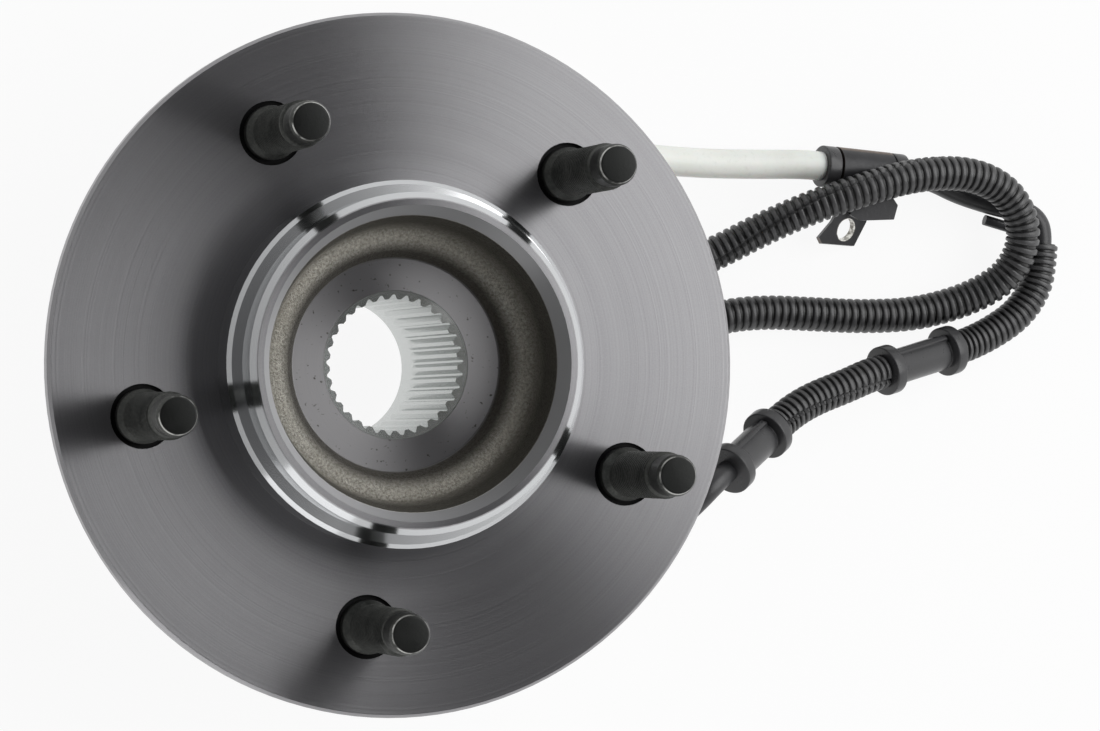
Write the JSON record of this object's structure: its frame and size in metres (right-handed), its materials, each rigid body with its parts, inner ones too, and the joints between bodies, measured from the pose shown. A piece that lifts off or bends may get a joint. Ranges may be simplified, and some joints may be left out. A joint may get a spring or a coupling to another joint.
{
  "type": "wheel hub bearing",
  "caption": "Wheel hub bearing unit: flange with wheel studs, pilots and splined bore, caged tapered roller rows, bolted outer ring, and a speed sensor with its sleeved cable harness.",
  "frame": {"origin": "on the spin axis, in the flange face that the brake rotor seats on", "axes": "+Z along the spin axis towards the wheel; +X towards the side on which the harness lies; +Y completes the right hand, and the sensor stands ten degrees from it"},
  "size_m": [0.3021, 0.181, 0.113],
  "materials": {
    "hub_steel": "turned and ground",
    "stud_black": "black phosphate, satin",
    "bearing_steel": "ground",
    "tone_steel": "sintered, satin",
    "housing_steel": "turned forging",
    "cage_steel": "pressed sheet, satin",
    "seal_steel": "pressed sheet, satin",
    "seal_rubber": "matt",
    "sensor_plastic": "satin",
    "magnet": "matt",
    "zinc_steel": "zinc plated",
    "cable_rubber": "satin",
    "white_sleeve": "semi-gloss",
    "grommet_rubber": "satin",
    "bracket_black": "coated, satin",
    "loom_plastic": "corrugated, satin",
    "connector_plastic": "moulded, satin",
    "connector_seal": "matt",
    "terminal_brass": "tinned brass, satin",
    "lock_plastic": "moulded, satin"
  },
  "bodies": {
    "carrier": {"outer_ring": "housing_steel", "outboard_seal_case": "seal_steel", "outboard_seal_lip": "seal_rubber", "inboard_seal_case": "seal_steel", "inboard_seal_lip": "seal_rubber", "pilot_o_ring": "seal_rubber", "sensor_body": "sensor_plastic", "sensor_pole": "tone_steel", "sensor_magnet": "magnet", "sensor_o_ring": "seal_rubber", "sensor_screw": "zinc_steel", "sensor_boot": "cable_rubber", "white_sleeve": "white_sleeve", "sleeve_grommet": "grommet_rubber", "harness_bracket": "bracket_black", "link_cable": "cable_rubber", "splice_cap": "cable_rubber", "loom_bend": "loom_plastic", "middle_grommet": "grommet_rubber", "loom_short": "loom_plastic", "end_grommet": "grommet_rubber", "lead_cable": "cable_rubber", "loom_loop": "loom_plastic", "connector_housing": "connector_plastic", "connector_rear_cap": "connector_plastic", "connector_seal": "connector_seal", "connector_terminals": "terminal_brass", "connector_lock": "lock_plastic"},
    "hub": {"hub": "hub_steel", "wheel_studs": "stud_black", "inner_ring": "bearing_steel", "tone_wheel": "tone_steel", "outboard_slinger": "seal_steel", "inboard_slinger": "seal_steel"},
    "outboard_roller_set": {"outboard_rollers": "bearing_steel", "outboard_cage": "cage_steel"},
    "inboard_roller_set": {"inboard_rollers": "bearing_steel", "inboard_cage": "cage_steel"}
  },
  "joints": [
    {"name": "hub_spin", "type": "hinge", "parent": "carrier", "child": "hub", "pos_m": [0, 0, 0], "axis": [0, 0, 1], "continuous": true},
    {"name": "outboard_orbit", "type": "hinge", "parent": "carrier", "child": "outboard_roller_set", "pos_m": [0, 0, -0.025], "axis": [0, 0, 1], "continuous": true},
    {"name": "inboard_orbit", "type": "hinge", "parent": "carrier", "child": "inboard_roller_set", "pos_m": [0, 0, -0.0545], "axis": [0, 0, 1], "continuous": true}
  ],
  "couplings": [
    {"joint": "outboard_orbit", "follows": "hub_spin", "ratio": 0.4321},
    {"joint": "inboard_orbit", "follows": "hub_spin", "ratio": 0.4321}
  ]
}
